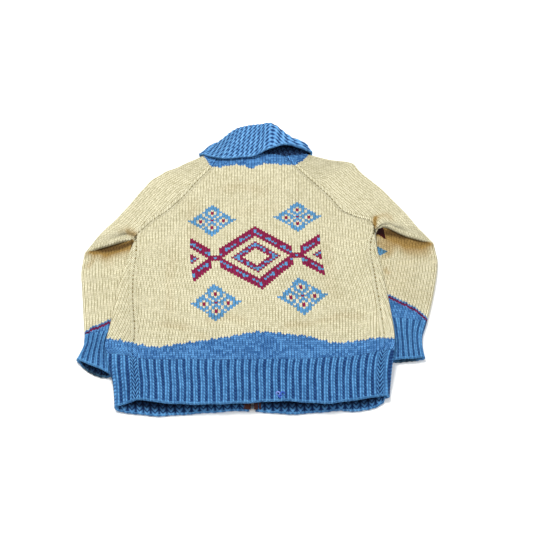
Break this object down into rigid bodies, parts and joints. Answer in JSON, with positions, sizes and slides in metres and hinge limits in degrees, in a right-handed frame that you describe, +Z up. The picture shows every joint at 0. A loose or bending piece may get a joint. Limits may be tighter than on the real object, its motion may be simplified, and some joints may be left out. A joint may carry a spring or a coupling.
{
  "type": "cowichan sweater",
  "caption": "Shawl-collared zip cardigan in bulky knit wool, raglan sleeves, ribbed hem and cuffs, laid flat face down with its patterned back up.",
  "frame": {"origin": "on the resting surface, under the middle of the garment's box", "axes": "+Z up, out of the back; +Y from the hem to the collar; +X to the wearer's right, because the garment lies face down"},
  "size_m": [0.7822, 0.7562, 0.0442],
  "materials": {
    "cream_wool": "matte bulky knit wool",
    "blue_wool": "matte bulky ribbed knit wool",
    "zip_tape": "matte woven tape",
    "zip_metal": "satin"
  },
  "bodies": {
    "garment": {"back": "cream_wool", "front_left": "cream_wool", "front_right": "cream_wool", "sleeve_left": "cream_wool", "sleeve_right": "cream_wool", "welt_back": "blue_wool", "welt_front_left": "blue_wool", "welt_front_right": "blue_wool", "cuff_left": "blue_wool", "cuff_right": "blue_wool", "collar": "blue_wool", "zip_tape_left": "zip_tape", "zip_tape_right": "zip_tape", "zip_teeth": "zip_metal", "zip_box": "zip_metal", "zip_slider": "zip_metal"},
    "pull_tab": {"zip_pull": "zip_metal"}
  },
  "joints": [
    {"name": "pull_tab_hinge", "type": "hinge", "parent": "garment", "child": "pull_tab", "pos_m": [-0.01397, 0.20526, 0.00845], "axis": [1, 0, 0], "range_deg": [0, 170]}
  ]
}
